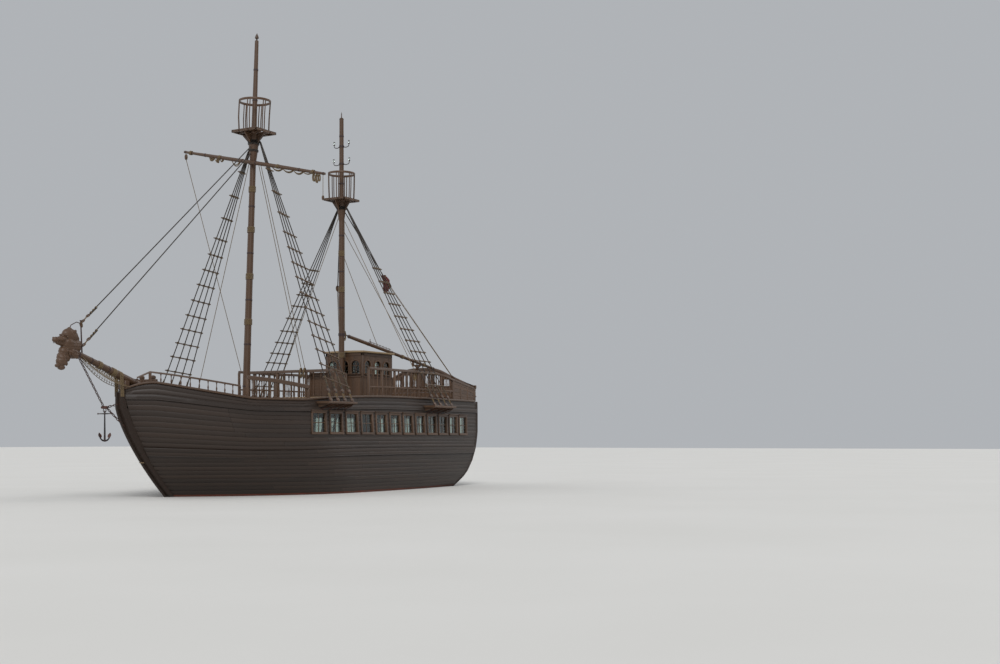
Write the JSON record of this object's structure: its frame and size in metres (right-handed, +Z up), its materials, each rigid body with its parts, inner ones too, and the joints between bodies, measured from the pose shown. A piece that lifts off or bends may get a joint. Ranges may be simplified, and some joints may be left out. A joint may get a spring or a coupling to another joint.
{
  "type": "pirate ship tour boat",
  "caption": "Two-masted wooden excursion boat dressed as an old pirate ship: glazed saloon, wheelhouse, crow's nests, canted yard, bowsprit with a sea beast figurehead.",
  "frame": {"origin": "on the centreline at the waterline, 10 m aft of the stem head", "axes": "+X towards the bow, +Y to port, +Z up"},
  "size_m": [23.045, 8.801, 20.57],
  "materials": {
    "hull_bottom": "satin antifouling paint",
    "tarred": "dark tarred planking",
    "oak": "oiled oak, weathered",
    "decking": "scrubbed deck planks",
    "spar": "varnished spruce, dark",
    "rope": "tarred hemp",
    "iron": "black painted iron",
    "bronze": "propeller bronze",
    "canvas": "furled bunting"
  },
  "bodies": {
    "hull": {"lower_hull": "hull_bottom", "backbone": "tarred", "side_port": "tarred", "side_starboard": "tarred", "stern": "tarred", "fore_deck": "decking", "quarter_deck": "decking", "deck_break": "oak", "saloon_bulkhead": "oak", "deck_steps": "oak", "saloon_bench_port": "oak", "saloon_bench_starboard": "oak", "saloon_ladder": "oak", "cap_rail_port": "oak", "cap_rail_starboard": "oak", "taffrail": "oak", "bow_rail_port": "oak", "bow_rail_starboard": "oak", "waist_rail_port": "oak", "waist_rail_starboard": "oak", "quarter_rail_port": "oak", "quarter_rail_starboard": "oak", "break_rail": "oak", "companion_hood": "oak", "wheelhouse": "oak", "wheelhouse_roof": "decking", "helm_post": "oak", "fore_mast": "spar", "mizzen_mast": "spar", "fore_nest": "spar", "mizzen_nest": "spar", "lamp_bracket_upper": "iron", "lamp_bracket_lower": "iron", "boom_crutch": "oak", "bowsprit": "spar", "figurehead": "oak", "bobstay": "iron", "anchor": "iron", "fore_stay": "rope", "fore_topmast_stay": "rope", "fore_shrouds_port": "rope", "fore_shrouds_starboard": "rope", "mizzen_shrouds_port": "rope", "mizzen_shrouds_starboard": "rope", "mizzen_backstay_port": "rope", "mizzen_backstay_starboard": "rope", "furled_flag": "canvas", "bitts": "oak", "windlass_frame": "oak"},
    "rudder_blade": {"rudder": "hull_bottom"},
    "helm_wheel": {"steering_wheel": "oak"},
    "screw": {"propeller": "bronze"},
    "fore_yard": {"yard": "spar"},
    "mizzen_boom": {"boom": "spar"},
    "house_door": {"wheelhouse_door": "oak"},
    "hood_door": {"companion_door": "oak"},
    "hood_hatch": {"companion_hatch": "oak"},
    "windlass_barrel": {"windlass_drum": "oak"}
  },
  "joints": [
    {"name": "rudder_turn", "type": "hinge", "parent": "hull", "child": "rudder_blade", "pos_m": [-8.33, 0, -1.2], "axis": [0, 0, 1], "range_deg": [-35, 35]},
    {"name": "wheel_turn", "type": "hinge", "parent": "hull", "child": "helm_wheel", "pos_m": [-4.13, 0, 4.95], "axis": [1, 0, 0], "range_deg": [-350, 350]},
    {"name": "propeller_spin", "type": "hinge", "parent": "hull", "child": "screw", "pos_m": [-7.8, 0, -1.18], "axis": [1, 0, 0], "continuous": true},
    {"name": "yard_brace", "type": "hinge", "parent": "hull", "child": "fore_yard", "pos_m": [2.57046, 0, 13.385], "axis": [-0.0462, 0, 0.9989], "range_deg": [-12, 12]},
    {"name": "boom_swing", "type": "hinge", "parent": "hull", "child": "mizzen_boom", "pos_m": [-3.68, 0, 6.81], "axis": [0, 0, 1], "range_deg": [-12, 25]},
    {"name": "wheelhouse_door_hinge", "type": "hinge", "parent": "hull", "child": "house_door", "pos_m": [-5.896, -0.353, 4.9], "axis": [0, 0, 1], "range_deg": [0, 110]},
    {"name": "companion_door_hinge", "type": "hinge", "parent": "hull", "child": "hood_door", "pos_m": [-1.976, 1.233, 4.35], "axis": [0, 0, 1], "range_deg": [-110, 0]},
    {"name": "companion_hatch_slide", "type": "slide", "parent": "hull", "child": "hood_hatch", "axis": [1, 0, 0], "range_m": [0, 0.45]},
    {"name": "windlass_spin", "type": "hinge", "parent": "hull", "child": "windlass_barrel", "pos_m": [7.65, 0, 3.83], "axis": [0, 1, 0], "continuous": true}
  ],
  "couplings": [
    {"joint": "wheel_turn", "follows": "rudder_turn", "ratio": 10}
  ]
}
